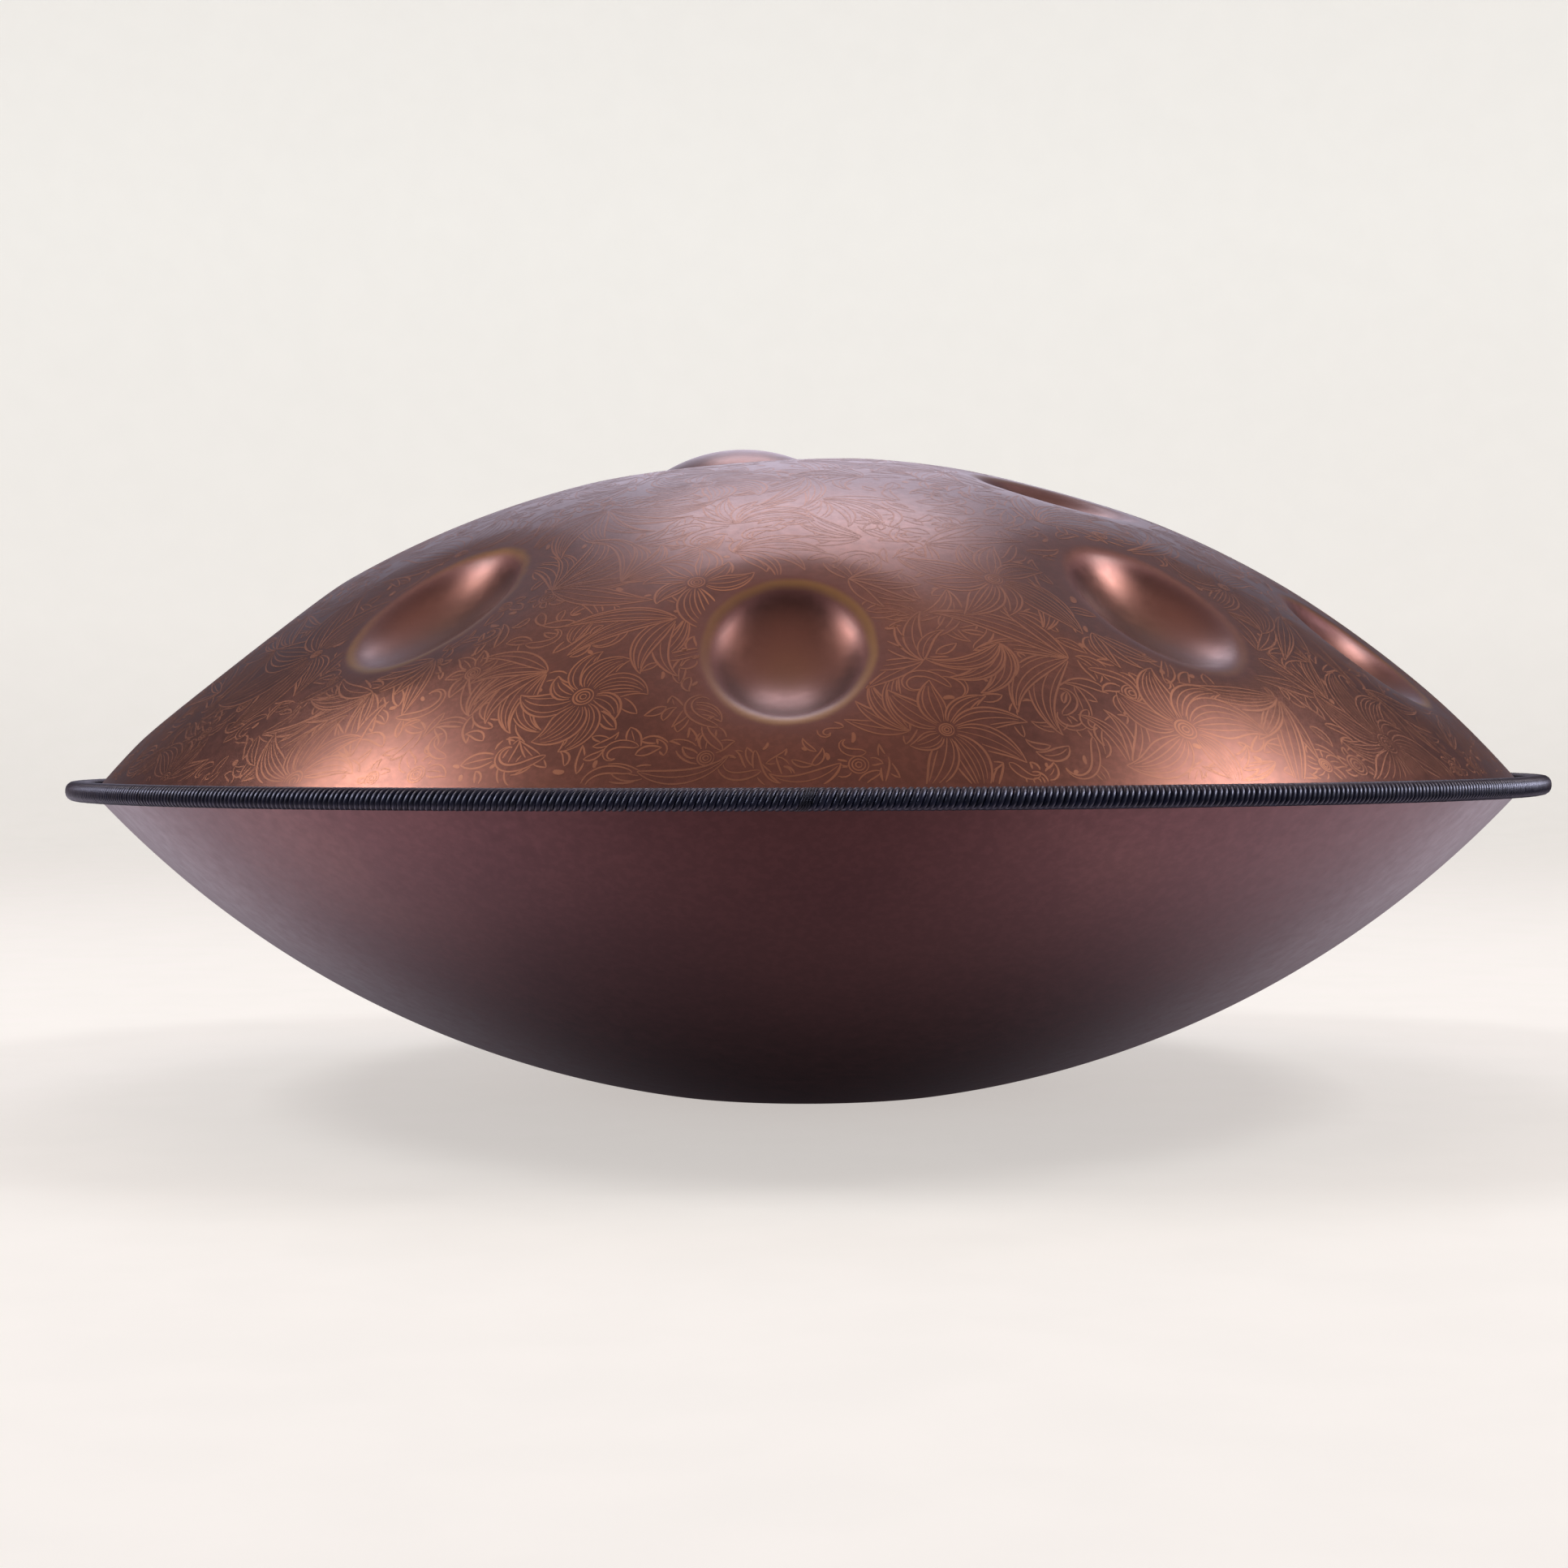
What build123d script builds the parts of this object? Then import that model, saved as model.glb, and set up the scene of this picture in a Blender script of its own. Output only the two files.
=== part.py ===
from build123d import *

import os
from collections import namedtuple
from math import asin, cos, degrees, radians, sin, sqrt

# A handpan: two dished shells of thin steel, glued flange to flange, with a cord laced
# round the joined flanges to cover their edge. The upper shell carries the playing
# surface, which is formed in the one sheet: a ding with its raised dome near the crown,
# a ring of tone fields round it and one more tone field beside the ding. Each tone field
# is a flat on the sphere with a hollow dish pressed in it. The lower shell is plain, with
# a round sound port that is pressed inwards into a short neck.
# +Z is up through the ding, -Y is the front, where the ends of the edge cord meet, and
# the origin is on the instrument's axis in the plane that it rests on. Millimetres, degrees.

# Sheet metal and edge
sheet = 1.0                # thickness of both steel shells
glue_film = 0.3            # adhesive between the two flanges
tape = 0.3                 # backing tape folded over the flanges
cord_d = 1.9               # lacing cord
overall_r = 265.0          # over the edge cord
root_r = 2.0               # outside radius where a shell turns out into its flange
leg_in_r = 256.6           # where tape and cord stop short of the shells

# Upper shell
upper_r = 332.0            # spherical radius of its outer face
upper_rise = 119.0         # rim plane to the crown of that sphere
flat_blend = 90.0          # radius that softens the edge of each flat
dish_edge_r = 9.0          # radius round the lip of each dish
lip_angle = 5.0            # slope at which the lip runs out into the flat

# Tone fields: azimuth of the centre from the front towards +X and its distance from the
# axis, the radius of the flat, and the dish's half length down the slope, half width and
# depth. Each is tuned to its own note, so they differ a little. In the ring, every second
# one stands further out.
Field = namedtuple("Field", "azimuth off flat_r half_length half_width depth")
ring = [
    Field(-1.5, 208, 44, 32.5, 24, 8.5),
    Field(35.8, 189, 46, 34, 25.5, 8.5),
    Field(66.5, 205, 43, 29, 28, 9.5),
    Field(102, 188, 46, 33, 26, 8.5),
    Field(138, 206, 44, 31, 25, 8.5),
    Field(174, 189, 45, 32, 25, 8.5),
    Field(210, 206, 43, 30, 25, 8),
    Field(246, 188, 45, 32, 24, 8),
    Field(282, 206, 42, 30, 24, 8),
    Field(320.7, 187, 46, 34, 25, 7.5),
]
beside_ding = Field(57, 104, 37, 28, 27, 8.5)

# Ding
ding_azimuth = -90.0
ding_off = 27.0            # the ding stands this far from the axis
ding_flat_r = 57.0
dome_r = 55.8              # spherical radius of the raised dome
dome_rise = 10.0           # height of the dome above its flat
dome_foot_r = 14.0         # radius that leads from the flat up to the dome

# Lower shell
lower_r = 342.0            # spherical radius of its outer face
lower_rise = 115.4         # rim plane to where that sphere would end
port_r = 50.0              # radius of the sound port's wall
neck_top = 21.0            # height of the neck's free end
land_out_r = 60.0          # outer radius of the flat land that the instrument rests on
roll_r = 6.0               # radius from the land into the neck
land_blend = 15.0          # radius from the sphere into the land

tie_w = 3.2                # width of the binding where the ends of the cord meet

# Sizes that follow
flange_r = overall_r - cord_d - tape
rim_z = lower_rise - lower_r + sqrt(lower_r**2 - land_out_r**2)
upper_centre = rim_z + upper_rise - upper_r
lower_centre = rim_z - lower_rise + lower_r
flange_stack = glue_film + 2 * sheet
tone_fields = ring + [beside_ding]
tie_angle = degrees(tie_w / overall_r)

# Allowances for shaping
past = 5.0                 # how far a copy that cuts runs past the sheet
block_past = 3.0           # how far the block that cuts a flat runs past the flat's edge
block_h = 20.0             # height of that block
cutter_h = 15.0            # height to which a dish's cutter stands over its lip
edge_left = 0.05           # straight edge left between the two roundings of the cord


def field_plane(azimuth, off, flat_r, inset):
    """The plane of a flat: local X runs down the slope and local Z points out of the shell."""
    turn, tilt = radians(azimuth), asin(off / upper_r)
    outward = Vector(sin(tilt) * sin(turn), -sin(tilt) * cos(turn), cos(tilt))
    downhill = Vector(cos(tilt) * sin(turn), -cos(tilt) * cos(turn), -sin(tilt))
    reach = sqrt(upper_r**2 - flat_r**2) - inset
    return Plane(origin=Vector(0, 0, upper_centre) + outward * reach, x_dir=downhill, z_dir=outward)


def dish_cutter(field, inset):
    """What a dish is pressed with: a turned bowl with a flared lip, stretched down the slope."""
    bowl_r = (field.half_width**2 + field.depth**2) / (2 * field.depth)
    bowl_z = bowl_r - field.depth
    lip_z = -dish_edge_r * cos(radians(lip_angle))
    lip_x = sqrt((bowl_r + dish_edge_r) ** 2 - (bowl_z - lip_z) ** 2)
    swing = degrees(asin(lip_x / (bowl_r + dish_edge_r)))
    bowl = CenterArc((0, bowl_z), bowl_r + inset, -90, swing)
    lip = CenterArc((lip_x, lip_z), dish_edge_r - inset, 90, swing)
    top = Polyline(lip @ 0, lip @ 0 + (0, cutter_h), (0, (lip @ 0).Y + cutter_h), bowl @ 0)
    turned = revolve(Plane.XZ * make_face(bowl + lip + top), Axis.Z)
    stretch = field.half_length / field.half_width
    return field_plane(field.azimuth, field.off, field.flat_r, 0) * scale(turned, (stretch, 1, 1))


def upper_profile(inset, floor_z):
    """Half section of everything under the upper shell's skin, the skin taken in by inset."""
    flange_z = rim_z + glue_film / 2 + sheet - inset
    radius = upper_r - inset
    root = sqrt(radius**2 - (flange_z - upper_centre) ** 2)
    turn = degrees(asin(root / radius))
    skin = CenterArc((0, upper_centre), radius, 90 - turn, turn)
    rest = Polyline((root, flange_z), (flange_r, flange_z), (flange_r, floor_z), (0, floor_z),
                    (0, upper_centre + radius))
    face = make_face(skin + rest)
    corner = face.vertices().sort_by_distance((root, flange_z))[0]
    return fillet(corner, root_r + inset)


def upper_body(inset, floor_z):
    """The solid under the upper shell's skin, with its flats, dishes and dome."""
    body = revolve(Plane.XZ * upper_profile(inset, floor_z), Axis.Z)
    flats = [(f.azimuth, f.off, f.flat_r) for f in tone_fields] + [(ding_azimuth, ding_off, ding_flat_r)]
    for azimuth, off, flat_r in flats:
        block = Cylinder(flat_r + block_past, block_h, align=(Align.CENTER, Align.CENTER, Align.MIN))
        body -= field_plane(azimuth, off, flat_r, inset) * block
    tilted = body.faces().filter_by(GeomType.PLANE).filter_by(Axis.Z, reverse=True)
    body = fillet(tilted.edges(), flat_blend - inset)
    for field in tone_fields:
        body -= dish_cutter(field, inset)
    ding = field_plane(ding_azimuth, ding_off, ding_flat_r, 0)
    body += ding * Pos(0, 0, dome_rise - dome_r) * Sphere(dome_r - inset)
    seat = body.faces().filter_by(GeomType.PLANE).sort_by_distance(ding.origin)[0]
    foot = [e for w in seat.inner_wires() for e in w.edges()]
    return fillet(foot, dome_foot_r + inset)


def upper_shell():
    under_flange = rim_z + glue_film / 2
    return upper_body(0, under_flange) - upper_body(sheet, under_flange - past)


def lower_profile(inset, top_z):
    """Half section of what the lower shell holds, its skin taken in by inset."""
    flange_z = rim_z - glue_film / 2 - sheet + inset
    radius = lower_r - inset
    root = sqrt(radius**2 - (lower_centre - flange_z) ** 2)
    land = sqrt(radius**2 - (lower_centre - inset) ** 2)
    start, stop = (degrees(asin(r / radius)) for r in (land, root))
    skin = CenterArc((0, lower_centre), radius, start - 90, stop - start)
    wall = port_r + inset
    rest = Polyline((root, flange_z), (flange_r, flange_z), (flange_r, top_z), (0, top_z),
                    (0, neck_top), (wall, neck_top), (wall, inset), (land, inset))
    face = make_face(skin + rest)
    for place, radius_there in (((root, flange_z), root_r + inset), ((wall, inset), roll_r - inset),
                                ((land, inset), land_blend - inset)):
        face = fillet(face.vertices().sort_by_distance(place)[0], radius_there)
    return face


def lower_shell():
    over_flange = rim_z - glue_film / 2
    section = lower_profile(0, over_flange) - lower_profile(sheet, over_flange + past)
    return revolve(Plane.XZ * section, Axis.Z)


def band(in_r, out_r, height):
    """A rectangle of the half section, centred on the rim plane's height."""
    return Pos((in_r + out_r) / 2, rim_z) * Rectangle(out_r - in_r, height)


def flange_adhesive():
    return revolve(Plane.XZ * band(leg_in_r, flange_r, glue_film), Axis.Z)


def edge_tape():
    section = band(leg_in_r, flange_r + tape, flange_stack + 2 * tape)
    return revolve(Plane.XZ * (section - band(leg_in_r - past, flange_r, flange_stack)), Axis.Z)


def cord_section():
    """The laced cord as one band, a C that is open towards the shells."""
    height = flange_stack + 2 * tape + 2 * cord_d
    outline = band(leg_in_r, overall_r, height)
    outer = outline.vertices().sort_by(Axis.X)[-2:]
    outline = fillet(outer, height / 2 - edge_left)
    inner = outline.vertices().sort_by(Axis.X)[:2]
    outline = fillet(inner, cord_d / 2 - edge_left)
    return outline - band(leg_in_r - past, flange_r + tape, height - 2 * cord_d)


def edge_cord():
    """All the way round but for the binding at the front."""
    swept = revolve(Plane.XZ * cord_section(), Axis.Z, 360 - tie_angle)
    return Rot(0, 0, -90 + tie_angle / 2) * swept


def cord_end_binding():
    swept = revolve(Plane.XZ * cord_section(), Axis.Z, tie_angle)
    return Rot(0, 0, -90 - tie_angle / 2) * swept


os.makedirs("parts", exist_ok=True)
for make in (upper_shell, lower_shell, flange_adhesive, edge_tape, edge_cord, cord_end_binding):
    export_step(make(), f"parts/{make.__name__}.step")
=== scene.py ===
import math

import bpy
import numpy as np
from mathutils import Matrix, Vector


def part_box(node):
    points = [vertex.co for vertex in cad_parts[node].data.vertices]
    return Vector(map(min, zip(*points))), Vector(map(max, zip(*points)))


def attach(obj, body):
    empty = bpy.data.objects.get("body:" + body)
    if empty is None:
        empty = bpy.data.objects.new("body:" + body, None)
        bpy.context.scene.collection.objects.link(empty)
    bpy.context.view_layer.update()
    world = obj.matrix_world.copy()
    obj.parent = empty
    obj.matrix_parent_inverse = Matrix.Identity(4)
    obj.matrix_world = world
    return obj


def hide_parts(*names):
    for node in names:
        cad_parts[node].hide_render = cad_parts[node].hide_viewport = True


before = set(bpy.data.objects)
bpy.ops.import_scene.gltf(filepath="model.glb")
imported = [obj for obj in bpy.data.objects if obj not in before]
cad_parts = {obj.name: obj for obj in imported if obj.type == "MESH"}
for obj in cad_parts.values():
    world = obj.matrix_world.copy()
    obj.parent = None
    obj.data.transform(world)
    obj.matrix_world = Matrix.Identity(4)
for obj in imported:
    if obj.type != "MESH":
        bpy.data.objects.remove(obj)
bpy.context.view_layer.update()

# The looks of a handpan: two dished steel shells with a corded rim. All sizes are in
# millimetres and degrees until mesh_object makes metres of them. Azimuths are counted
# from the front (-Y) towards +X.
MM = 0.001
rng = np.random.default_rng(53)

# From the frame
cord_low, cord_high = (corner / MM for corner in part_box("edge_cord"))
tie_low, tie_high = (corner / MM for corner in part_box("cord_end_binding"))
flange_low, flange_high = (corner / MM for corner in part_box("upper_shell"))
rim_z = (cord_low.z + cord_high.z) / 2
overall_r = (cord_high.x - cord_low.x) / 2
flange_r = (flange_high.x - flange_low.x) / 2
leg_in_r = -tie_high.y
tie_w = tie_high.x - tie_low.x

# Sheet metal, adhesive, tape and cord
sheet = 1.0
glue_film = 0.3
tape = 0.3
cord_d = 1.9
root_r = 2.0

# Upper shell: the sphere, the flats on it and the dishes in them
upper_r = 332.0
upper_rise = 119.0
upper_centre = rim_z + upper_rise - upper_r
flat_blend = 1.0
dish_edge_r = 9.0
lip_angle = 5.0
ding_azimuth = -90.0
ding_off = 27.0
ding_flat_r = 57.0
dome_r = 55.8
dome_rise = 10.0
dome_foot_r = 14.0
skin_step = 1.9           # spacing of the points on the playing side
lining_step = 4.2         # and on the inside
off_dish = 4.0            # "dish" value of a point that is far from every dish
flat_facing = 0.2         # least cosine with a flat's outward way at which its plane is used
dish_facing = 0.5         # least cosine with it at which its dish is looked for

# Each tone field: azimuth and distance of its centre from the axis, radius of its flat, and
# half length down the slope, half width and depth of its dish
tone_fields = [
    (-1.5, 208, 44, 32.5, 24, 8.5),
    (35.8, 189, 46, 34, 25.5, 8.5),
    (66.5, 205, 43, 29, 28, 9.5),
    (102, 188, 46, 33, 26, 8.5),
    (138, 206, 44, 31, 25, 8.5),
    (174, 189, 45, 32, 25, 8.5),
    (210, 206, 43, 30, 25, 8),
    (246, 188, 45, 32, 24, 8),
    (282, 206, 42, 30, 24, 8),
    (320.7, 187, 46, 34, 25, 7.5),
    (57, 104, 37, 28, 27, 8.5),
]

# Lower shell
lower_r = 342.0
lower_rise = 115.4
lower_centre = rim_z - lower_rise + lower_r
port_r = 50.0
neck_top = 21.0
roll_r = 6.0
land_blend = 15.0
neck_bevel = 0.3          # on both edges of the neck's free end
neck_hold = 3.0           # row of points that keeps the wall below the bevel straight

# Turns of the cord
cord_pitch = 1.02 * cord_d
cord_straight = 0.4       # half the straight stretch of a turn at its outermost
cord_dip = 0.25           # how far a turn's ends dip towards the shells
leg_short = 0.6           # how far a turn's straight leg stops short of its bend
azimuth_stray = 0.012     # how unevenly the turns are spaced, in degrees
lean_stray = 0.12
thick_stray = 0.03        # how unevenly thick they are, as a share
tucked_end = 0.45         # thickness of a turn's two ends, as a share of the rest
tie_threads = 4
tie_thread_d = 0.8
flange_stack = glue_film + 2 * sheet + 2 * tape


# ---------------------------------------------------------------- meshes

def mesh_object(name, points, faces, material):
    """A smooth mesh object from points in millimetres."""
    mesh = bpy.data.meshes.new(name)
    mesh.from_pydata((np.asarray(points) * MM).tolist(), [], np.asarray(faces).tolist())
    mesh.polygons.foreach_set("use_smooth", [True] * len(mesh.polygons))
    mesh.materials.append(material)
    mesh.update()
    made = bpy.data.objects.new(name, mesh)
    bpy.context.collection.objects.link(made)
    return made


def point_attribute(obj, name, values):
    layer = obj.data.attributes.new(name, "FLOAT", "POINT")
    layer.data.foreach_set("value", np.asarray(values, dtype=np.float32))


def grid_faces(rows, columns, closed):
    """Quads between rows of points. In a closed grid the last column meets the first."""
    row, column = np.meshgrid(np.arange(rows - 1), np.arange(columns - (not closed)), indexing="ij")
    after = (column + 1) % columns
    quads = (row * columns + column, row * columns + after, (row + 1) * columns + after,
             (row + 1) * columns + column)
    return np.stack([q.ravel() for q in quads], axis=1)


def turned(profile, columns):
    """Points of a profile of (radius, height) turned about the instrument's axis."""
    angle = np.arange(columns) / columns * 2 * math.pi
    radius, height = np.asarray(profile).T
    x = radius[:, None] * np.cos(angle)
    y = radius[:, None] * np.sin(angle)
    z = np.repeat(height[:, None], columns, axis=1)
    return np.stack([x, y, z], axis=2).reshape(-1, 3)


def arc(centre, radius, start, stop, steps):
    """Points on an arc, as (radius, height), with its angles counted from the horizontal."""
    angle = np.radians(np.linspace(start, stop, steps + 1))
    return np.stack([centre[0] + radius * np.cos(angle), centre[1] + radius * np.sin(angle)], axis=1)


# ---------------------------------------------------------------- shape of the upper shell

def bearing(azimuth, off):
    """Unit vectors of a place on the upper sphere: outward, down the slope and across it."""
    turn, tilt = math.radians(azimuth), math.asin(off / upper_r)
    level = np.array([math.sin(turn), -math.cos(turn), 0.0])
    up = np.array([0.0, 0.0, 1.0])
    outward = math.sin(tilt) * level + math.cos(tilt) * up
    downhill = math.cos(tilt) * level - math.sin(tilt) * up
    return outward, downhill, np.cross(outward, downhill)


def dish_depth(q, half_width, depth, inset):
    """Depth of a dish at distance q from its centre: a bowl that runs into a flared lip."""
    bowl_r = (half_width**2 + depth**2) / (2 * depth)
    bowl_z = bowl_r - depth
    lip_z = -dish_edge_r * math.cos(math.radians(lip_angle))
    lip_x = math.sqrt((bowl_r + dish_edge_r) ** 2 - (bowl_z - lip_z) ** 2)
    meet = lip_x * bowl_r / (bowl_r + dish_edge_r)
    bowl = bowl_z - np.sqrt(np.maximum((bowl_r + inset) ** 2 - q**2, 0))
    lip = lip_z + np.sqrt(np.maximum((dish_edge_r - inset) ** 2 - (q - lip_x) ** 2, 0))
    height = np.where(q < meet, bowl, np.where(q < lip_x, lip, -inset))
    return np.minimum(height + inset, 0)


def dome_height(q, inset):
    """Height of the ding's dome at distance q from its centre."""
    foot_x = math.sqrt((dome_r + dome_foot_r) ** 2 - (dome_foot_r - dome_rise + dome_r) ** 2)
    meet = foot_x * dome_r / (dome_r + dome_foot_r)
    dome = dome_rise - dome_r + np.sqrt(np.maximum((dome_r - inset) ** 2 - q**2, 0))
    foot = dome_foot_r - np.sqrt(np.maximum((dome_foot_r + inset) ** 2 - (foot_x - q) ** 2, 0))
    height = np.where(q < meet, dome, np.where(q < foot_x, foot, -inset))
    return np.maximum(height + inset, 0)


def smooth_min(a, b, width):
    lap = np.maximum(width - np.abs(a - b), 0) / width
    return np.minimum(a, b) - lap**2 * width / 4


def upper_points(directions, inset):
    """Points of the upper shell's skin, and how far each is from the nearest dish (1 at its lip)."""
    reach = np.full(len(directions), upper_r - inset)
    flats = [field[:3] for field in tone_fields] + [(ding_azimuth, ding_off, ding_flat_r)]
    for azimuth, off, flat_r in flats:
        outward, _, _ = bearing(azimuth, off)
        plane = math.sqrt(upper_r**2 - flat_r**2) - inset
        reach = smooth_min(reach, plane / np.maximum(directions @ outward, flat_facing), flat_blend)
    centre = np.array([0, 0, upper_centre])
    points = centre + directions * reach[:, None]
    nearest = np.full(len(directions), off_dish)
    for azimuth, off, flat_r, half_length, half_width, depth in tone_fields:
        outward, downhill, across = bearing(azimuth, off)
        middle = centre + outward * (math.sqrt(upper_r**2 - flat_r**2) - inset)
        away = points - middle
        q = np.hypot(away @ downhill * half_width / half_length, away @ across)
        q[directions @ outward < dish_facing] = np.inf
        points = points + outward * dish_depth(q, half_width, depth, inset)[:, None]
        nearest = np.minimum(nearest, q / half_width)
    outward, downhill, across = bearing(ding_azimuth, ding_off)
    away = points - centre - outward * (math.sqrt(upper_r**2 - ding_flat_r**2) - inset)
    q = np.hypot(away @ downhill, away @ across)
    return points + outward * dome_height(q, inset)[:, None], nearest


def skirt(inset):
    """The skin's turn at the root of the flange, and the flange, as (radius, height)."""
    flange_z = rim_z + glue_film / 2 + sheet - inset
    turn_r = root_r + inset
    reach = upper_r - inset + turn_r
    turn_z = flange_z + turn_r
    turn_x = math.sqrt(reach**2 - (turn_z - upper_centre) ** 2)
    tilt = math.degrees(math.asin(turn_x / reach))
    bend = arc((turn_x, turn_z), turn_r, 270 - tilt, 270, 4)
    return tilt, np.vstack([bend[1:], [(flange_r, flange_z)]])


def disc_mesh(step, inset):
    """Rings of six, twelve, eighteen ... points out from the crown, then the skirt."""
    tilt, edge = skirt(inset)
    rings = round(upper_r * math.radians(tilt) / step)
    directions, faces = [np.array([[0, 0, 1.0]])], []
    first = 1
    for k in range(1, rings + 1):
        lean = math.radians(tilt) * k / rings
        around = np.arange(6 * k) / (6 * k) * 2 * math.pi
        directions.append(np.stack([math.sin(lean) * np.cos(around), math.sin(lean) * np.sin(around),
                                    np.full(6 * k, math.cos(lean))], axis=1))
        inner = first - max(6 * (k - 1), 1)
        for side in range(6):
            out = first + (side * k + np.arange(k + 1)) % (6 * k)
            into = inner + (side * (k - 1) + np.arange(k)) % max(6 * (k - 1), 1)
            faces.append(np.stack([out[:-1], out[1:], into], axis=1))
            faces.append(np.stack([into[:-1], out[1:-1], into[1:]], axis=1))
        first += 6 * k
    points, nearest = upper_points(np.vstack(directions), inset)
    band = grid_faces(len(edge) + 1, 6 * rings, True) + len(points) - 6 * rings
    faces.append(band[:, [0, 3, 2]])
    faces.append(band[:, [0, 2, 1]])
    brim = turned(edge, 6 * rings)
    nearest = np.append(nearest, np.full(len(brim), off_dish))
    return np.vstack([points, brim]), np.vstack(faces), nearest


def upper_shell():
    """Both skins of the upper shell in one mesh, with the playing side much the finer."""
    skin, skin_faces, near = disc_mesh(skin_step, 0)
    lining, lining_faces, near_lining = disc_mesh(lining_step, sheet)
    points = np.vstack([skin, lining])
    faces = np.vstack([skin_faces, lining_faces[:, ::-1] + len(skin)])
    made = mesh_object("upper_shell_skin", points, faces, playing_steel())
    point_attribute(made, "dish", np.append(near, near_lining))
    return made


# ---------------------------------------------------------------- etched ornament

etch_cell = 0.45          # grid on which the ornament keeps track of what is taken
leaf_step = 1.4           # spacing of the points along a leaf
tendril_step = 1.1        # and along a tendril
etch_lift = 0.03          # how far the strokes stand over the skin
etch_border = 2.5         # how far inside the root of the flange the ornament stops
line_w = 0.6
line_end = 0.45           # width of a stroke's ends, as a share of its middle
leaf_room = 0.45          # share of a leaf's outline that has to be free
tendril_room = 0.5        # and of a tendril's path
bare_margin = 6           # plain metal round each dish
ding_bare_r = 44          # and over the ding


def flat_map(azimuth, off):
    """A place on the upper sphere laid out flat: its arc from the crown, in its direction."""
    run = upper_r * math.asin(off / upper_r)
    turn = math.radians(azimuth)
    return np.array([run * math.sin(turn), -run * math.cos(turn)])


def turned_aside(vectors):
    return np.stack([-vectors[..., 1], vectors[..., 0]], axis=-1)


def unit(angle):
    return np.array([math.cos(angle), math.sin(angle)])


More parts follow.
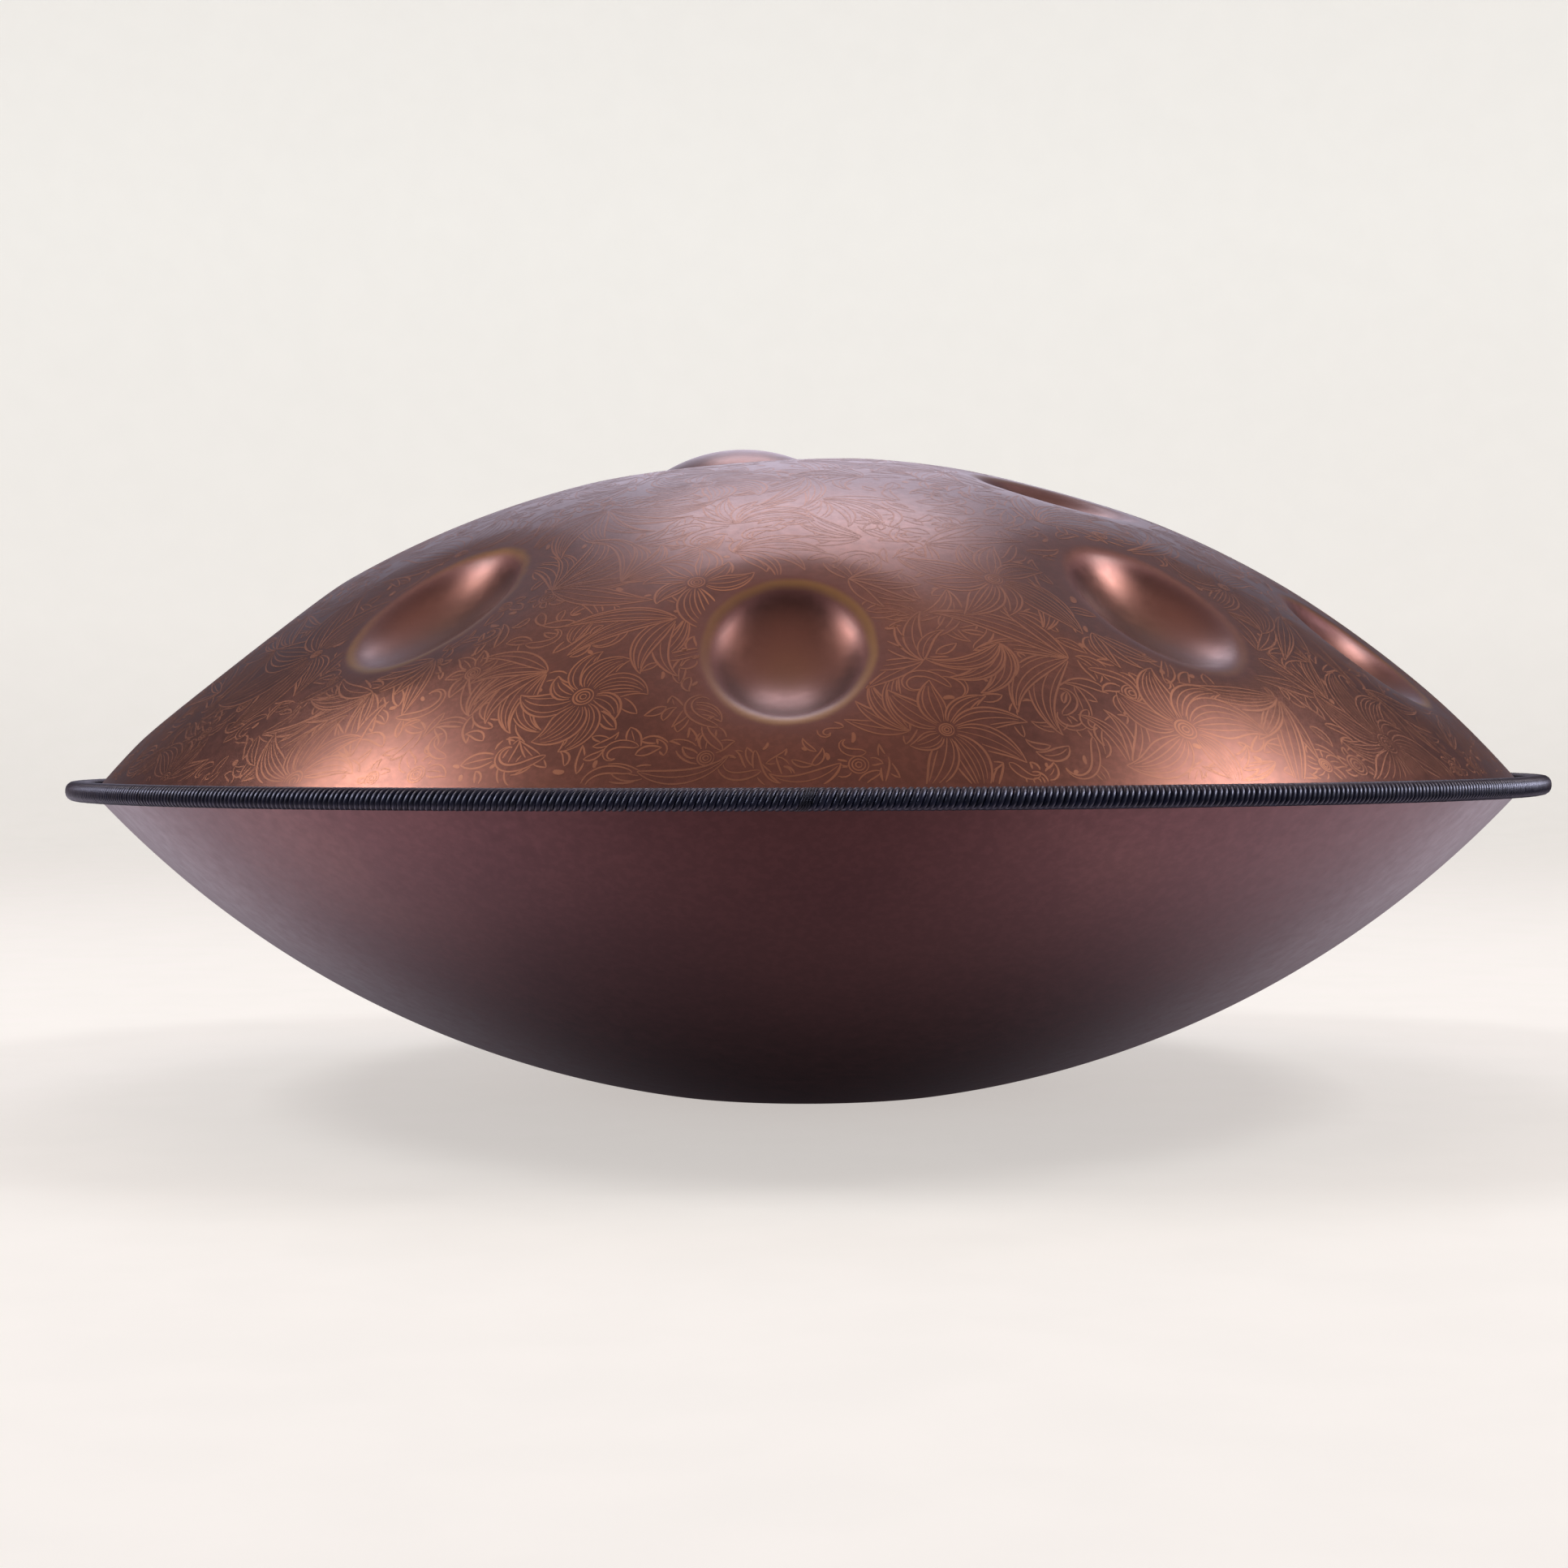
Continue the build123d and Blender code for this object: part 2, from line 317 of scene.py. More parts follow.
class Canvas:
    """The flat map of the upper shell. What is drawn first hides what is drawn after it."""

    def __init__(self, reach):
        self.reach = reach
        axis = np.arange(-reach, reach, etch_cell)
        x, y = np.meshgrid(axis, axis, indexing="ij")
        self.places = np.stack([x, y], axis=2)
        self.taken = np.hypot(x, y) > reach
        for azimuth, off, _, half_length, half_width, _ in tone_fields:
            self.keep_bare(azimuth, off, half_length + bare_margin, half_width + bare_margin)
        self.keep_bare(ding_azimuth, ding_off, ding_bare_r, ding_bare_r)
        self.strokes = []

    def keep_bare(self, azimuth, off, half_length, half_width):
        """Leaves a softly lobed oval plain."""
        away = self.places - flat_map(azimuth, off)
        downhill = unit(math.radians(azimuth - 90))
        along, aside = away @ downhill, away @ turned_aside(downhill)
        bearing_here = np.arctan2(aside, along)
        lobes = 1 + 0.05 * np.cos(5 * bearing_here + azimuth)
        self.taken |= np.hypot(along / half_length, aside / half_width) < lobes

    def cells(self, points):
        index = ((np.asarray(points) + self.reach) / etch_cell).astype(int)
        return np.clip(index, 0, len(self.taken) - 1)

    def free(self, points):
        index = self.cells(points)
        return ~self.taken[index[:, 0], index[:, 1]]

    def cover(self, outline):
        """Takes the inside of a closed outline."""
        low, high = self.cells([outline.min(axis=0), outline.max(axis=0)])
        window = np.s_[low[0]:high[0] + 2, low[1]:high[1] + 2]
        x, y = self.places[window][..., 0, None], self.places[window][..., 1, None]
        start, stop = outline, np.roll(outline, -1, axis=0)
        rise = stop[:, 1] - start[:, 1]
        rise = np.where(np.abs(rise) < 1e-9, 1e-9, rise)
        crosses = (start[:, 1] > y) != (stop[:, 1] > y)
        left_of = x < start[:, 0] + (y - start[:, 1]) / rise * (stop[:, 0] - start[:, 0])
        self.taken[window] |= (np.count_nonzero(crosses & left_of, axis=2) % 2).astype(bool)

    def draw(self, line, width):
        """Draws what shows of a line, as one stroke or more."""
        shown = self.free(line) & (np.hypot(line[:, 0], line[:, 1]) < self.reach)
        breaks = np.flatnonzero(np.diff(shown.astype(int))) + 1
        for piece, seen in zip(np.split(line, breaks), shown[np.r_[0, breaks]]):
            if seen and len(piece) > 2:
                self.strokes.append((piece, width))

    def leaf(self, base, heading, length, width, bend):
        """A leaf on a curved spine: its outline, a line or two nested in it, and its midrib."""
        steps = max(int(length / leaf_step), 7)
        part = np.linspace(0, 1, steps + 1)
        angle = heading + bend * part**1.3
        ahead = np.stack([np.cos(angle), np.sin(angle)], axis=1)
        along = np.vstack([[0, 0], np.cumsum((ahead[1:] + ahead[:-1]) / 2, axis=0)])
        spine = base + along * length / steps
        aside = turned_aside(ahead) * width / 2 * np.sin(math.pi * part**0.8)[:, None]
        outline = np.vstack([spine + aside, (spine - aside)[::-1]])
        if np.mean(self.free(outline)) < leaf_room:
            return
        for side in (1, -1):
            self.draw(spine + side * aside, line_w * 1.15)
            if width > 6:
                self.draw((spine + side * aside * 0.62)[1:-2], line_w * 0.8)
            if width > 10:
                self.draw((spine + side * aside * 0.3)[2:-4], line_w * 0.7)
        if width > 4:
            self.draw(spine[1:-2], line_w * 0.7)
        self.cover(outline)

    def eye(self, centre, radius, rings):
        """Rings one inside another."""
        for share in np.linspace(1, 1 / rings, rings):
            ring_r = radius * share
            around = np.linspace(0, 2 * math.pi, max(int(2 * math.pi * ring_r / 0.8), 8))
            self.draw(centre + ring_r * np.stack([np.cos(around), np.sin(around)], axis=1), line_w)
        around = np.linspace(0, 2 * math.pi, 16, endpoint=False)
        self.cover(centre + (radius + 0.5) * np.stack([np.cos(around), np.sin(around)], axis=1))

    def blossom(self, centre, reach, petals):
        """Petals that swirl round an eye."""
        hub = rng.uniform(2.0, 4.0)
        self.eye(centre, hub, 3)
        start, swirl = rng.uniform(0, 2 * math.pi), rng.choice((-1, 1)) * rng.uniform(0.6, 1.5)
        for k in range(petals):
            angle = start + (k + rng.uniform(-0.2, 0.2)) * 2 * math.pi / petals
            length = (reach - hub) * rng.uniform(0.6, 1.25)
            room = 2 * (hub + length / 2) * math.tan(math.pi / petals)
            width = min(room, length / 2) * rng.uniform(0.8, 1.1)
            self.leaf(centre + unit(angle) * hub * 0.8, angle, length, width, swirl)

    def fan(self, base, reach):
        """Slender curved leaves that spring from one point."""
        heading, bend = rng.uniform(0, 2 * math.pi), rng.choice((-1, 1)) * rng.uniform(0.3, 1.5)
        count = int(rng.integers(4, 8))
        for k in range(count):
            side = k - (count - 1) / 2
            length = reach * rng.uniform(0.6, 1.1)
            width = length * rng.uniform(0.15, 0.27)
            self.leaf(base, heading + side * 0.34, length, width, bend + side * 0.22)

    def tendril(self, base, length):
        """A double line that curls up at its end."""
        steps = max(int(length / tendril_step), 8)
        part = np.linspace(0, 1, steps)
        way = rng.choice((-1, 1))
        heading, curl, sway = rng.uniform(0, 2 * math.pi), rng.uniform(2.5, 5.5), rng.uniform(0, 1.2)
        angle = heading + way * (curl * part**2.2 - sway * part)
        ahead = np.stack([np.cos(angle), np.sin(angle)], axis=1)
        path = base + np.cumsum(ahead, axis=0) * length / steps
        if np.mean(self.free(path)) < tendril_room:
            return
        half = (1.3 * np.sin(math.pi * part**0.6) + 0.1)[:, None]
        sides = [path + turned_aside(ahead) * half * side for side in (1, -1)]
        for line in sides:
            self.draw(line, line_w)
        self.cover(np.vstack([sides[0], sides[1][::-1]]))

    def drop(self, base):
        """A small solid comma."""
        angle = rng.uniform(0, 2 * math.pi) + np.linspace(0, rng.uniform(0.5, 1.6), 6)
        ahead = np.stack([np.cos(angle), np.sin(angle)], axis=1)
        path = base + np.cumsum(ahead, axis=0) * rng.uniform(0.5, 0.9)
        self.draw(path, rng.uniform(1.2, 2.0))
        self.cover(np.vstack([path + 0.9, path[::-1] - 0.9]))

    def scatter(self, count, spacing):
        """Free places at least so far apart."""
        places = []
        for place in rng.uniform(-self.reach, self.reach, (count * 12, 2)):
            if len(places) < count and self.free(place[None])[0]:
                if all(np.hypot(*(place - p)) > spacing for p in places):
                    places.append(place)
        return places

    def fill(self):
        """The largest figures come first, and the smaller ones fill what is left."""
        for place in self.scatter(40, 58):
            self.blossom(place, rng.uniform(22, 38), int(rng.integers(7, 12)))
        for place in self.scatter(190, 20):
            self.fan(place, rng.uniform(22, 46))
        for place in self.scatter(500, 7):
            self.tendril(place, rng.uniform(12, 34))
        for place in self.scatter(90, 15):
            self.blossom(place, rng.uniform(8, 13), int(rng.integers(5, 9)))
        for place in self.scatter(1500, 4):
            length = rng.uniform(6, 17)
            self.leaf(place, rng.uniform(0, 2 * math.pi), length, length * rng.uniform(0.2, 0.42),
                      rng.uniform(-1.6, 1.6))
        for place in self.scatter(500, 4.5):
            self.drop(place)
        return self.strokes


def ribbon(line, width):
    """Left and right edges of a line that tapers a little at both ends."""
    ahead = np.gradient(line, axis=0)
    ahead /= np.maximum(np.hypot(ahead[:, 0], ahead[:, 1]), 1e-9)[:, None]
    part = np.linspace(0, 1, len(line))
    half = (width / 2 * (line_end + (1 - line_end) * np.sin(math.pi * part) ** 0.5))[:, None]
    return np.stack([line - turned_aside(ahead) * half, line + turned_aside(ahead) * half], axis=1)


def lay_on_shell(flat, lift):
    """Points of the flat map, put back on the upper shell's skin."""
    run = np.maximum(np.hypot(flat[:, 0], flat[:, 1]), 1e-9)
    lean = run / upper_r
    level = np.sin(lean) / run
    directions = np.stack([level * flat[:, 0], level * flat[:, 1], np.cos(lean)], axis=1)
    points, _ = upper_points(directions, 0)
    return points + directions * lift


def etched_lines():
    """The ornament as one mesh of thin strips that follow the skin, dishes and all."""
    tilt, _ = skirt(0)
    canvas = Canvas(upper_r * math.radians(tilt) - etch_border)
    flat, faces, first = [], [], 0
    for line, width in canvas.fill():
        strip = ribbon(line, width * rng.uniform(0.8, 1.25))
        flat.append(strip.reshape(-1, 2))
        faces.append(grid_faces(len(strip), 2, False)[:, ::-1] + first)
        first += 2 * len(strip)
    points = lay_on_shell(np.vstack(flat), etch_lift)
    return mesh_object("etched_ornament", points, np.vstack(faces), etched_steel())


# ---------------------------------------------------------------- lower shell

def lower_profile():
    """The closed section of the lower shell, as (radius, height), outside first."""
    section = []
    for inset in (0, sheet):
        flange_z = rim_z - glue_film / 2 - sheet + inset
        radius, turn_r = lower_r - inset, root_r + inset
        root = math.sqrt((radius + turn_r) ** 2 - (lower_centre - flange_z + turn_r) ** 2)
        root_tilt = math.degrees(math.asin(root / (radius + turn_r)))
        blend = land_blend - inset
        blend_x = math.sqrt((radius - blend) ** 2 - (lower_centre - inset - blend) ** 2)
        blend_tilt = math.degrees(math.asin(blend_x / (radius - blend)))
        roll = roll_r - inset
        wall = port_r + inset
        side = [np.array([(flange_r, flange_z)]),
                arc((root, flange_z - turn_r), turn_r, 90, 90 + root_tilt, 5),
                arc((0, lower_centre), radius, root_tilt - 90, blend_tilt - 90, 90)[1:],
                arc((blend_x, inset + blend), blend, blend_tilt - 90, -90, 4)[1:],
                arc((wall + roll, inset + roll), roll, 270, 180, 10),
                np.array([(wall, neck_top - neck_hold), (wall, neck_top - neck_bevel)])]
        side = np.vstack(side)
        section.append(side if inset == 0 else side[::-1])
    free_end = [(port_r + neck_bevel, neck_top), (port_r + sheet - neck_bevel, neck_top)]
    return np.vstack([section[0], free_end, section[1]])


def lower_shell():
    profile = lower_profile()
    columns = 420
    points = turned(profile, columns)
    faces = grid_faces(len(profile), columns, True)
    return mesh_object("lower_shell_skin", points, faces, bowl_steel())


# ---------------------------------------------------------------- cord round the rim

def strand_path(stack, thick):
    """Section of a strand's middle line over the edge: along the top leg, round and back below."""
    out_r = overall_r - thick / 2
    high = stack / 2 + thick / 2
    bend = high - cord_straight
    top = np.array([(leg_in_r + thick / 2, high - cord_dip), (leg_in_r + thick, high),
                    (out_r - bend - leg_short, high)])
    turn = arc((out_r - bend, high - bend), bend, 90, 0, 4)
    half = np.vstack([top, turn])
    return np.vstack([half, half[::-1] * (1, -1)])


def strand(middle, azimuth, lean, thick, sides):
    """Points of one strand: a tube round a middle line that moves along the rim as it goes down."""
    steps = np.linspace(-1, 1, len(middle))
    turn = math.radians(azimuth) + steps * lean / overall_r
    radius, height = middle.T
    path = np.stack([radius * np.sin(turn), -radius * np.cos(turn), rim_z + height], axis=1)
    ahead = np.gradient(path, axis=0)
    ahead /= np.linalg.norm(ahead, axis=1)[:, None]
    rim_way = np.stack([np.cos(turn), np.sin(turn), np.zeros(len(turn))], axis=1)
    level = rim_way - ahead * np.sum(rim_way * ahead, axis=1)[:, None]
    level /= np.linalg.norm(level, axis=1)[:, None]
    proud = np.cross(ahead, level)
    half = np.full(len(path), thick / 2)
    half[[0, -1]] *= tucked_end
    around = (np.arange(sides) / sides * 2 * math.pi)[None, :, None]
    ring = level[:, None] * np.cos(around) + proud[:, None] * np.sin(around)
    return (path[:, None] + ring * half[:, None, None]).reshape(-1, 3)


def strands(name, azimuths, leans, stack, thick, material, sides):
    """Many strands side by side in one mesh."""
    middle = strand_path(stack, thick)
    single = grid_faces(len(middle), sides, True)
    points, faces = [], []
    for i, (azimuth, lean) in enumerate(zip(azimuths, leans)):
        thick_here = thick * rng.uniform(1 - thick_stray, 1 + thick_stray)
        points.append(strand(middle, azimuth, lean, thick_here, sides))
        faces.append(single + i * len(middle) * sides)
    return mesh_object(name, np.vstack(points), np.vstack(faces), material)


def cord_lean(azimuth):
    """How far a turn runs along the rim on its way down: most left of the front, least on its right."""
    return -1.65 - 1.5 * np.cos(np.radians(2 * (azimuth + 20)))


def edge_cord():
    """The cord lies over the rim turn by turn, leaning a little, all the way round to the binding."""
    start = math.degrees((tie_w + cord_d) / 2 / overall_r)
    count = round(2 * math.pi * overall_r / cord_pitch)
    azimuths = np.linspace(start, 360 - start, count)
    azimuths[1:-1] += rng.normal(0, azimuth_stray, count - 2)
    leans = cord_lean(azimuths) + rng.normal(0, lean_stray, count)
    return strands("edge_cord_turns", azimuths, leans, flange_stack, cord_d, cord_fibre(), 7)


def cord_binding():
    """Thin thread wound over the two ends of the cord."""
    stack = flange_stack + 2 * (cord_d - tie_thread_d)
    end = (tie_w - tie_thread_d) / 2
    azimuths = np.degrees(np.linspace(-end, end, tie_threads) / overall_r)
    return strands("binding_thread", azimuths, cord_lean(azimuths), stack, tie_thread_d,
                   binding_fibre(), 10)


# ---------------------------------------------------------------- materials

BLUISH = (0.80, 0.82, 1, 1)


class Shader:
    """A Principled material and the few kinds of node that these materials are built from."""

    def __init__(self, name, colour, **sockets):
        self.material = bpy.data.materials.new(name)
        self.material.use_nodes = True
        self.tree = self.material.node_tree
        self.surface = self.tree.nodes["Principled BSDF"]
        self.surface.inputs["Base Color"].default_value = (*colour, 1)
        for socket, value in sockets.items():
            title = socket.replace("_", " ").title().replace("Ior", "IOR")
            self.surface.inputs[title].default_value = value
        self.place = self.node("ShaderNodeTexCoord").outputs["Object"]

    def node(self, kind, **settings):
        made = self.tree.nodes.new(kind)
        for key, value in settings.items():
            setattr(made, key, value)
        return made

    def join(self, output, inlet):
        self.tree.links.new(output, inlet)

    def noise(self, scale, detail=3.0, roughness=0.5, stretch=(1, 1, 1)):
        mapping = self.node("ShaderNodeMapping")
        mapping.inputs["Scale"].default_value = stretch
        texture = self.node("ShaderNodeTexNoise")
        texture.inputs["Scale"].default_value = scale
        texture.inputs["Detail"].default_value = detail
        texture.inputs["Roughness"].default_value = roughness
        self.join(self.place, mapping.inputs["Vector"])
        self.join(mapping.outputs["Vector"], texture.inputs["Vector"])
        return texture.outputs["Fac"]

    def ramp(self, value, *stops):
        """Colours from (position, colour) stops, where a plain number stands for a grey."""
        node = self.node("ShaderNodeValToRGB")
        node.color_ramp.interpolation = "EASE"
        points = node.color_ramp.elements
        while len(points) < len(stops):
            points.new(0.5)
        for point, (position, colour) in zip(points, stops):
            point.position = position
            point.color = (*colour, 1) if isinstance(colour, tuple) else (colour, colour, colour, 1)
        self.join(value, node.inputs["Fac"])
        return node.outputs["Color"]

    def span(self, value, low, high, to_low, to_high):
        node = self.node("ShaderNodeMapRange")
        node.clamp = True
        ends = {"From Min": low, "From Max": high, "To Min": to_low, "To Max": to_high}
        for socket, number in ends.items():
            node.inputs[socket].default_value = number
        self.join(value, node.inputs["Value"])
        return node.outputs["Result"]

    def add(self, a, b):
        node = self.node("ShaderNodeMath", operation="ADD")
        self.join(a, node.inputs[0])
        self.join(b, node.inputs[1])
        return node.outputs[0]

    def blend(self, a, b, amount, mode="MIX"):
        """Mixes two colours by an amount, which is an output or a number."""
        node = self.node("ShaderNodeMix", data_type="RGBA", blend_type=mode)
        if isinstance(amount, bpy.types.NodeSocket):
            self.join(amount, node.inputs[0])
        else:
            node.inputs[0].default_value = amount
        self.join(a, node.inputs[6])
        self.join(b, node.inputs[7])
        return node.outputs[2]

    def bump(self, *layers):
        """Stacks bump layers of (height, strength, distance in millimetres) on the surface."""
        normal = None
        for height, strength, distance in layers:
            node = self.node("ShaderNodeBump")
            node.inputs["Strength"].default_value = strength
            node.inputs["Distance"].default_value = distance * MM
            self.join(height, node.inputs["Height"])
            if normal:
                self.join(normal, node.inputs["Normal"])
            normal = node.outputs["Normal"]
        self.join(normal, self.surface.inputs["Normal"])

    def set(self, socket, output):
        self.join(output, self.surface.inputs[socket])


def playing_steel():
    """Heat-coloured steel: copper brown to plum, with a faint temper ring round each dish."""
    s = Shader("playing_steel", (0.15, 0.06, 0.045), metallic=1.0, coat_weight=0.5, coat_roughness=0.3)
    base = s.ramp(s.noise(16, 4, 0.55), (0.30, (0.105, 0.040, 0.031)), (0.52, (0.135, 0.052, 0.037)),
                  (0.72, (0.170, 0.069, 0.043)))
    specks = s.ramp(s.noise(420, 2, 0.6), (0.40, 0.8), (0.66, 1.12))
    base = s.blend(base, specks, 0.55, "MULTIPLY")
    dish = s.node("ShaderNodeAttribute", attribute_name="dish").outputs["Fac"]
    wander = s.span(s.noise(30, 2), 0, 1, -0.08, 0.08)
    ring = s.span(s.add(dish, wander), 0, 2, 0, 1)
    bowl = (0.0, (0.16, 0.075, 0.047))
    wall = (0.30, (0.15, 0.064, 0.050))
    lip = (0.47, (0.095, 0.042, 0.042))
    plain = s.ramp(ring, bowl, wall, lip, (0.55, (0.13, 0.054, 0.046)), (0.66, (0.15, 0.062, 0.044)))
    straw = s.ramp(ring, bowl, wall, lip, (0.53, (0.24, 0.145, 0.045)), (0.57, (0.13, 0.054, 0.046)))
    temper = s.blend(plain, straw, s.span(s.noise(9, 1), 0.42, 0.62, 0.05, 0.9))
    cover = s.ramp(ring, (0.0, 0.85), (0.54, 0.75), (0.66, 0.0))
    s.set("Base Color", s.blend(base, temper, cover))
    grain = s.span(s.noise(260, 3, 0.6), 0.3, 0.7, 0.28, 0.36)
    duller_lip = s.ramp(ring, (0.40, 0.0), (0.49, 0.16), (0.58, 0.0))
    s.set("Roughness", s.add(grain, duller_lip))
    s.bump((s.noise(900, 2), 0.12, 0.03))
    return s.material


def etched_steel():
    """Where the colour was taken off again: lighter, warmer and duller than the steel round it."""
    s = Shader("etched_steel", (0.3, 0.14, 0.08), metallic=0.9, coat_weight=0.5, coat_roughness=0.35)
    s.set("Base Color", s.ramp(s.noise(22, 3), (0.35, (0.185, 0.076, 0.042)),
                               (0.6, (0.245, 0.101, 0.052)), (0.8, (0.335, 0.143, 0.064))))
    s.set("Roughness", s.span(s.noise(900, 2), 0.3, 0.7, 0.36, 0.46))
    s.bump((s.noise(1500, 2), 0.3, 0.03))
    return s.material


def bowl_steel():
    """The plain lower shell: satin plum brown."""
    s = Shader("bowl_steel", (0.12, 0.05, 0.05), metallic=1.0, coat_weight=0.25, coat_roughness=0.35)
    base = s.ramp(s.noise(9, 4, 0.5), (0.32, (0.090, 0.036, 0.038)), (0.55, (0.110, 0.045, 0.045)),
                  (0.75, (0.130, 0.056, 0.052)))
    specks = s.ramp(s.noise(380, 2, 0.6), (0.4, 0.85), (0.66, 1.1))
    s.set("Base Color", s.blend(base, specks, 0.5, "MULTIPLY"))
    s.set("Roughness", s.span(s.noise(200, 3, 0.6), 0.3, 0.7, 0.30, 0.38))
    s.bump((s.noise(900, 2), 0.12, 0.03))
    return s.material


def cord_fibre():
    """Blue-black synthetic cord with a satin gloss."""
    s = Shader("cord_fibre", (0.01, 0.012, 0.022), specular_ior_level=0.5, specular_tint=BLUISH)
    s.set("Base Color", s.ramp(s.noise(300, 3, 0.6), (0.3, (0.002, 0.003, 0.010)),
                               (0.55, (0.004, 0.005, 0.018)), (0.8, (0.010, 0.012, 0.032))))
    s.set("Roughness", s.span(s.noise(500, 2), 0.3, 0.7, 0.34, 0.46))
    s.bump((s.noise(2600, 2, 0.6, (1, 1, 0.35)), 0.35, 0.06))
    return s.material


def binding_fibre():
    """Thread of the same kind, darker and duller."""
    s = Shader("binding_fibre", (0.006, 0.006, 0.012), specular_ior_level=0.35, specular_tint=BLUISH)
    s.set("Base Color", s.ramp(s.noise(600, 2), (0.3, (0.002, 0.002, 0.006)),
                               (0.7, (0.007, 0.007, 0.014))))
    s.set("Roughness", s.span(s.noise(900, 2), 0.3, 0.7, 0.35, 0.5))
    s.bump((s.noise(3500, 2), 0.4, 0.05))
    return s.material


def tape_cloth():
    """Black cloth tape."""
    s = Shader("tape_cloth", (0.015, 0.015, 0.018))
    weave = s.noise(1800, 1, 0.5, (1, 1, 2.5))
    s.set("Base Color", s.ramp(weave, (0.35, (0.010, 0.010, 0.012)), (0.65, (0.03, 0.03, 0.034))))
    s.set("Roughness", s.span(weave, 0.3, 0.7, 0.6, 0.8))
    s.bump((weave, 0.5, 0.06))
    return s.material


def cured_glue():
    """Adhesive set to a dull amber."""
    s = Shader("cured_glue", (0.5, 0.46, 0.38), specular_ior_level=0.5)
    patch = s.noise(220, 3)
    s.set("Base Color", s.ramp(patch, (0.3, (0.42, 0.38, 0.30)), (0.7, (0.58, 0.54, 0.46))))
    s.set("Roughness", s.span(patch, 0.3, 0.7, 0.35, 0.55))
    s.bump((s.noise(700, 2), 0.3, 0.05))
    return s.material


def backdrop_paper():
    """Pale paper that glows a little, more so up the wall, so that floor and wall look alike."""
    s = Shader("backdrop_paper", (0.86, 0.83, 0.80), specular_ior_level=0.1)
    grain = s.noise(25, 4)
    s.set("Base Color", s.ramp(grain, (0.3, (0.41, 0.465, 0.46)), (0.7, (0.43, 0.485, 0.48))))
    s.set("Roughness", s.span(grain, 0.3, 0.7, 0.85, 0.95))
    height = s.node("ShaderNodeSeparateXYZ")
    s.join(s.place, height.inputs["Vector"])
    s.surface.inputs["Emission Color"].default_value = (0.965, 0.905, 0.865, 1)
    s.set("Emission Strength", s.span(height.outputs["Z"], 0.0, 0.3, 0.56, 0.65))
    return s.material


# ---------------------------------------------------------------- studio

def backdrop():
    """A pale floor that curves up all round, a long way off. Metal doesn't mirror it."""
    around = 96
    middle_r, flat_r, bend, wall = 20.0, 2400, 900, 700
    profile = np.vstack([[(middle_r, 0.0), (500, 0), (1500, 0)],
                         arc((flat_r, bend), bend, -90, 0, 16), [(flat_r + bend, bend + wall)]])
    paper = backdrop_paper()
    made = mesh_object("backdrop", turned(profile, around), grid_faces(len(profile), around, True), paper)
    middle = mesh_object("backdrop_middle", turned([(middle_r, 0.0)], around), [range(around)], paper)
    for part in (made, middle):
        part.visible_glossy = False


def towards(azimuth, elevation):
    """The unit vector in that direction."""
    turn, rise = math.radians(azimuth), math.radians(elevation)
    return Vector((math.sin(turn) * math.cos(rise), -math.cos(turn) * math.cos(rise), math.sin(rise)))


def softbox(name, azimuth, elevation, distance, size, power, colour):
    """A rectangular area light, in metres, that faces the middle of the rim from that side."""
    light = bpy.data.lights.new(name, "AREA")
    light.shape = "RECTANGLE"
    light.size, light.size_y = size
    light.energy = power
    light.color = colour
    made = bpy.data.objects.new(name, light)
    out = towards(azimuth, elevation)
    made.location = Vector((0, 0, rim_z * MM)) + out * distance
    made.rotation_mode = "QUATERNION"
    made.rotation_quaternion = out.to_track_quat("Z", "Y")
    bpy.context.collection.objects.link(made)
    return made


class Air:
    """The light from all round: broad soft glows on near black, the same left and right."""

    def __init__(self, name):
        self.world = bpy.data.worlds.new(name)
        self.world.use_nodes = True
        self.tree = self.world.node_tree
        place = self.tree.nodes.new("ShaderNodeTexCoord").outputs["Generated"]
        mirrored = self.vectors("ABSOLUTE", place)
        aside = self.vectors("MULTIPLY", mirrored, (1, 0, 0))
        onward = self.vectors("MULTIPLY", place, (0, 1, 1))
        self.way = self.vectors("ADD", aside, onward)
        self.light = (0.003, 0.003, 0.004)

    def fill_in(self, node, values):
        """Joins each value to the node's next inlet, or sets it there if it is fixed."""
        for value, inlet in zip(values, node.inputs):
            if isinstance(value, bpy.types.NodeSocket):
                self.tree.links.new(value, inlet)
            else:
                inlet.default_value = value

    def vectors(self, operation, *values):
        node = self.tree.nodes.new("ShaderNodeVectorMath")
        node.operation = operation
        self.fill_in(node, values)
        return node.outputs["Value" if operation == "DOT_PRODUCT" else "Vector"]

    def numbers(self, operation, *values):
        node = self.tree.nodes.new("ShaderNodeMath")
        node.operation = operation
        self.fill_in(node, values)
        return node.outputs["Value"]

    def glow(self, azimuth, elevation, spread, colour):
        """Adds a round glow of that colour in that direction, which fades over that many degrees."""
        sharp = 1 / math.radians(spread) ** 2
        near = self.vectors("DOT_PRODUCT", self.way, towards(azimuth, elevation))
        fade = self.numbers("EXPONENT", self.numbers("MULTIPLY_ADD", near, sharp, -sharp))
        spot = self.tree.nodes.new("ShaderNodeVectorMath")
        spot.operation = "SCALE"
        spot.inputs[0].default_value = colour
        self.tree.links.new(fade, spot.inputs["Scale"])
        self.light = self.vectors("ADD", spot.outputs["Vector"], self.light)

    def hang(self):
        self.tree.links.new(self.light, self.tree.nodes["Background"].inputs["Color"])
        bpy.context.scene.world = self.world


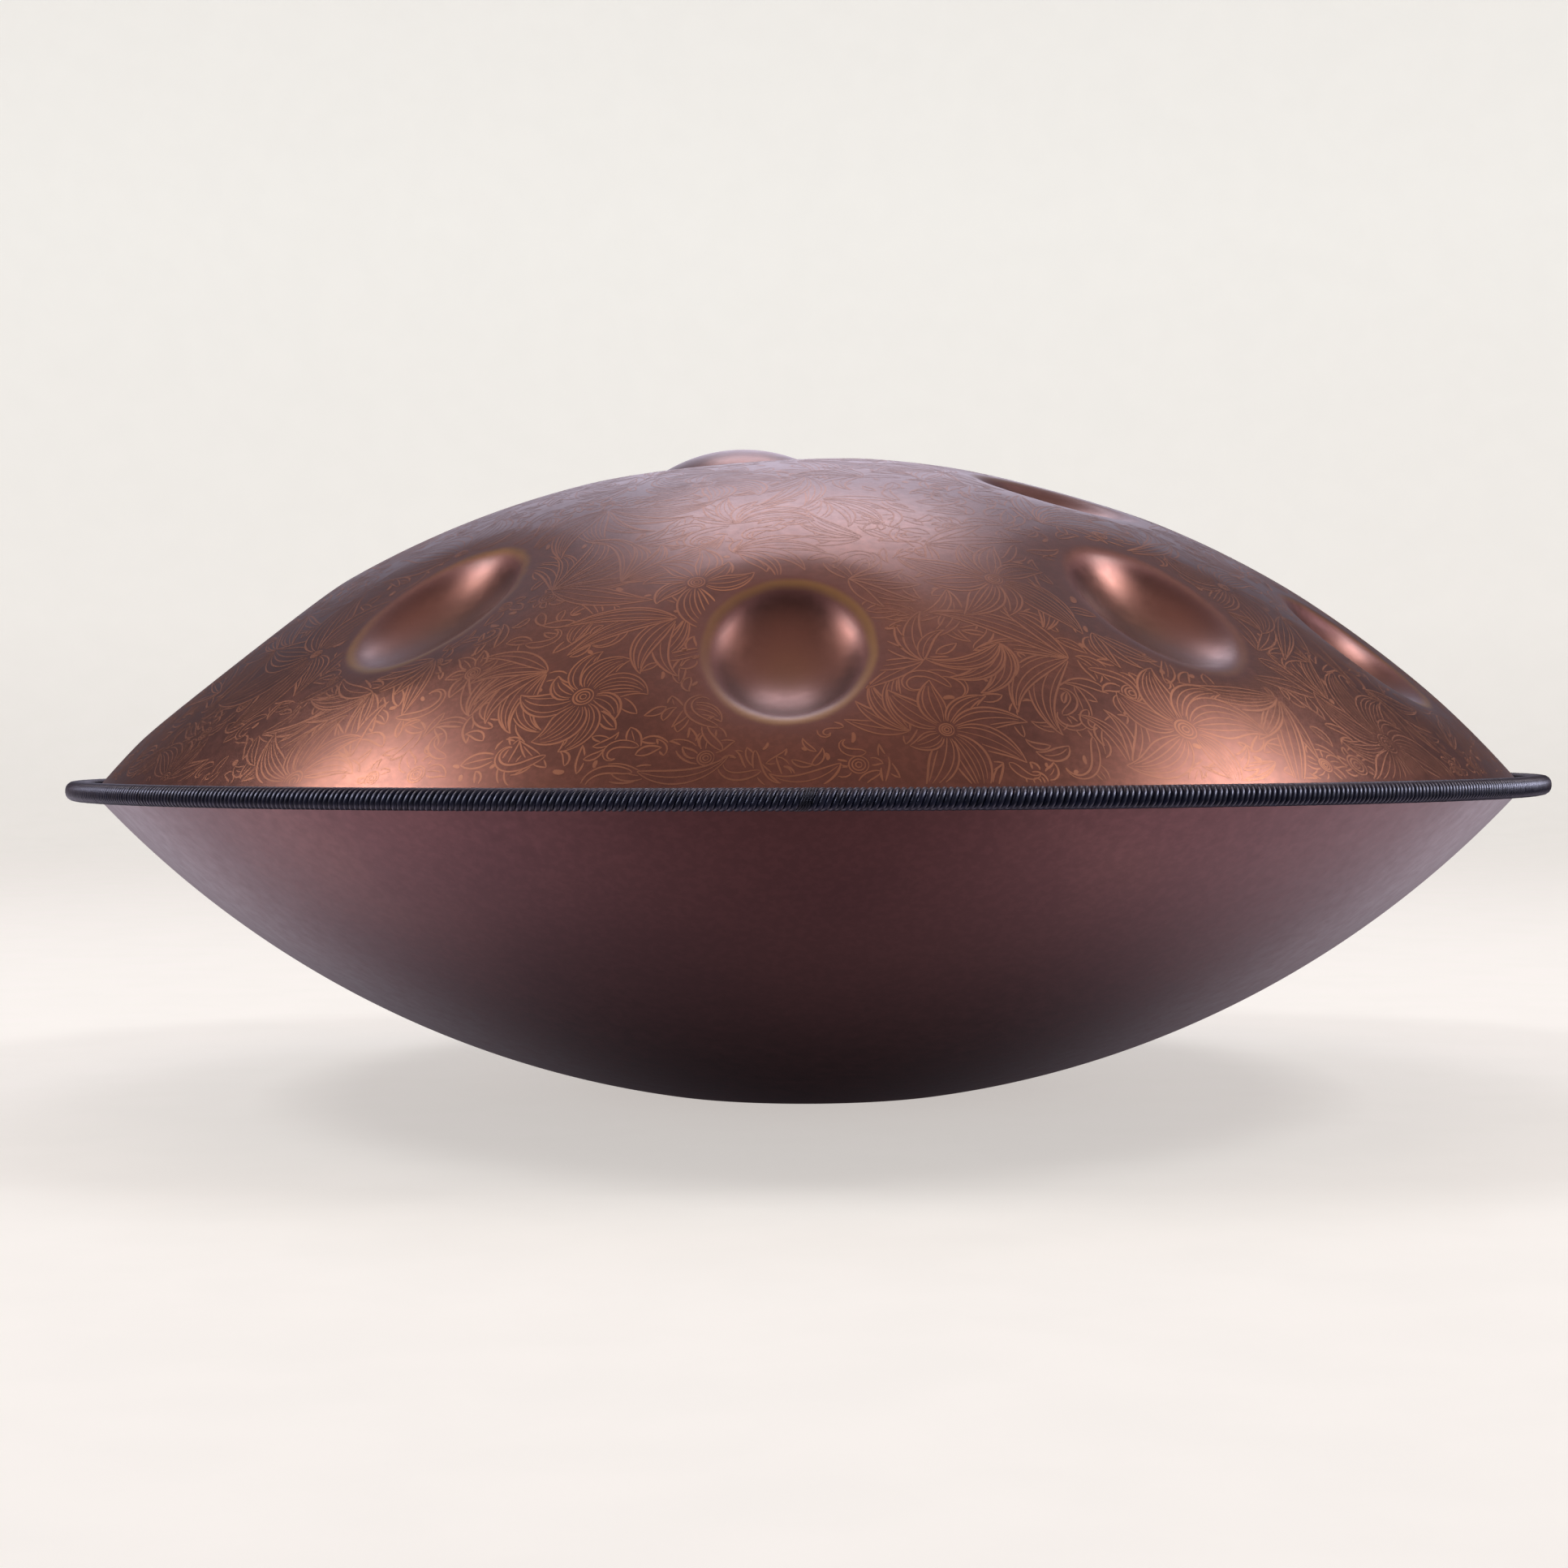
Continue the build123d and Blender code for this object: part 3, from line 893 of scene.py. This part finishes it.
def studio():
    """Softboxes at both sides and behind, low strips for the cord's gloss, and the air."""
    backdrop()
    for name, side, strip_power in (("left", -1, 30), ("right", 1, 46)):
        softbox("softbox_" + name, 88 * side, 47, 1.83, (0.72, 0.38), 11.6, (1, 0.87, 0.84))
        strip = softbox("strip_" + name, 74 * side, 18, 1.7, (1.2, 0.45), strip_power, (0.88, 0.88, 1))
        strip.visible_diffuse = False
    softbox("back_softbox", 180, 53, 2.0, (0.74, 0.70), 4.2, (1, 0.90, 1))
    air = Air("studio_air")
    # Above: over the middle, behind, and low behind
    air.glow(0, 84, 20, (0.74, 0.53, 0.47))
    air.glow(180, 35, 14, (0.50, 0.50, 0.65))
    air.glow(180, 18, 9, (1.02, 0.94, 1.15))
    # At both sides, for the dishes
    air.glow(150, 62, 13, (0.50, 0.33, 0.28))
    air.glow(110, 15, 16, (0.45, 0.20, 0.16))
    # Below, for the flanks of the lower shell and the front of it
    air.glow(145, -15, 11, (1.15, 1.05, 1.22))
    air.glow(122, -37, 11, (1.45, 1.22, 1.40))
    air.glow(98, -57, 11, (1.32, 1.11, 1.27))
    air.glow(0, -90, 19, (0.52, 0.39, 0.42))
    air.hang()
    bpy.context.scene.view_settings.view_transform = "Standard"


def camera():
    """Almost level with the rim and four instrument radii off, with a slight roll."""
    off, over_rim = 1.06, 0.01625
    down, roll, aside = 0.856, 0.25, 0.452
    lens = bpy.data.cameras.new("camera")
    lens.sensor_width = 36
    lens.lens = 66.1
    made = bpy.data.objects.new("camera", lens)
    made.location = (0, -off, rim_z * MM + over_rim)
    made.rotation_euler = [math.radians(turn) for turn in (90 - down, roll, aside)]
    bpy.context.collection.objects.link(made)
    bpy.context.scene.camera = made


# ---------------------------------------------------------------- assembly

def stand_for(obj, node):
    """obj takes the place of that CAD node."""
    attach(obj, "root")
    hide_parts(node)


def repaint(node, material):
    """The CAD node stays, in that material."""
    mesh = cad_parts[node].data
    mesh.materials.clear()
    mesh.materials.append(material)


stand_for(upper_shell(), "upper_shell")
ornament = etched_lines()
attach(ornament, "root")
stand_for(lower_shell(), "lower_shell")
stand_for(edge_cord(), "edge_cord")
stand_for(cord_binding(), "cord_end_binding")
repaint("edge_tape", tape_cloth())
repaint("flange_adhesive", cured_glue())
studio()
camera()
